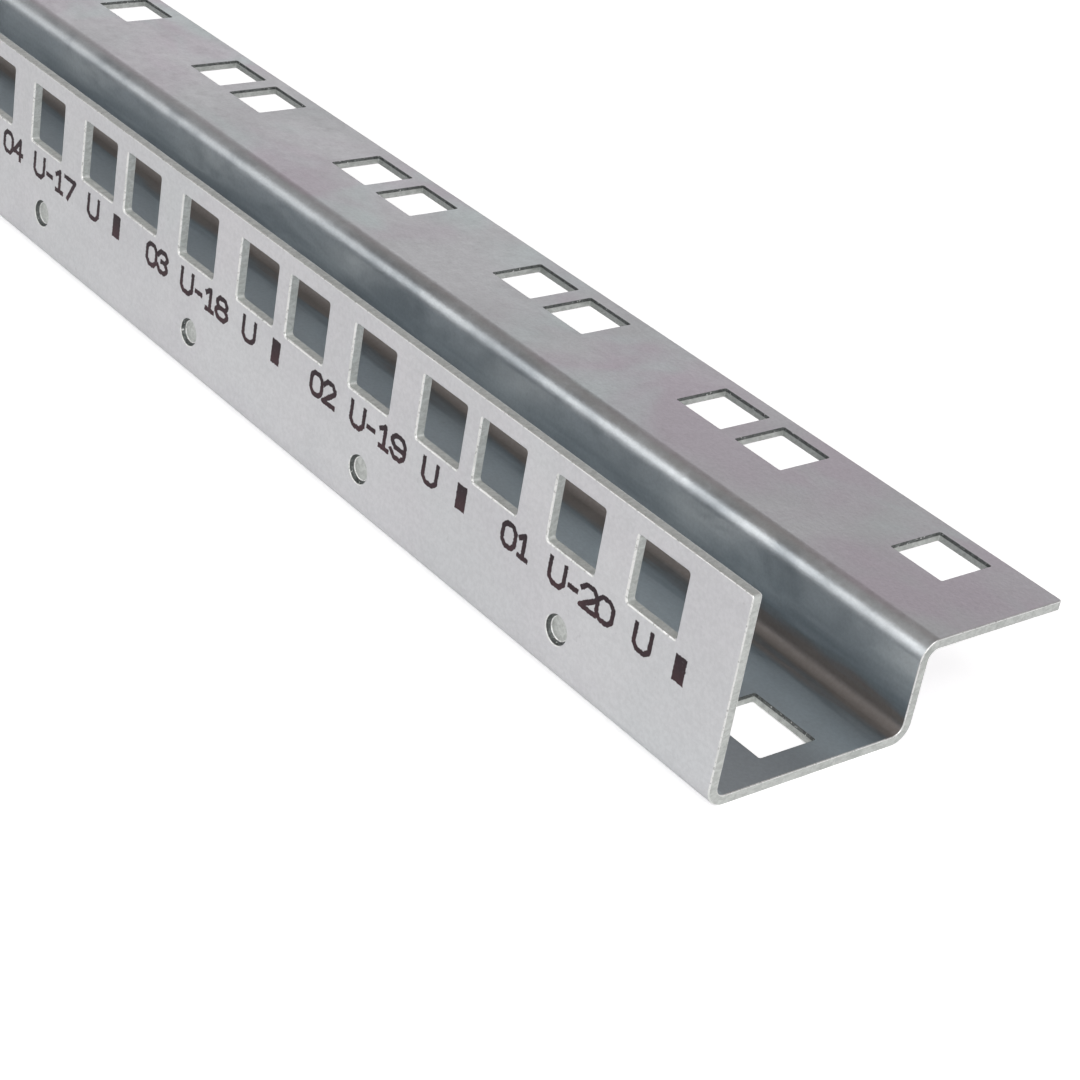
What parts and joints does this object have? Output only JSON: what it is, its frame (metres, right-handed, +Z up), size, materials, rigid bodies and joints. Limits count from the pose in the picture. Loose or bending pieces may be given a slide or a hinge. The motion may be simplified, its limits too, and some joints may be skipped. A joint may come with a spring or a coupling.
{
  "type": "rack rail",
  "caption": "Long folded steel rack rail with square cage-nut holes along its front and outer flanges and slots in its base.",
  "frame": {"origin": "middle of the underside of the rail's bounding box, where it lies on its base web", "axes": "+X along the rail, towards the end that the unit numbers count from; +Y from the front flange's face towards the outer flange; +Z up, out of the open channel"},
  "size_m": [0.907, 0.0596, 0.0305],
  "materials": {
    "zinc_plated_steel": "zinc plated sheet steel, satin, with faint passivation tints"
  },
  "bodies": {
    "root": {"rack_rail": "zinc_plated_steel"}
  },
  "joints": []
}
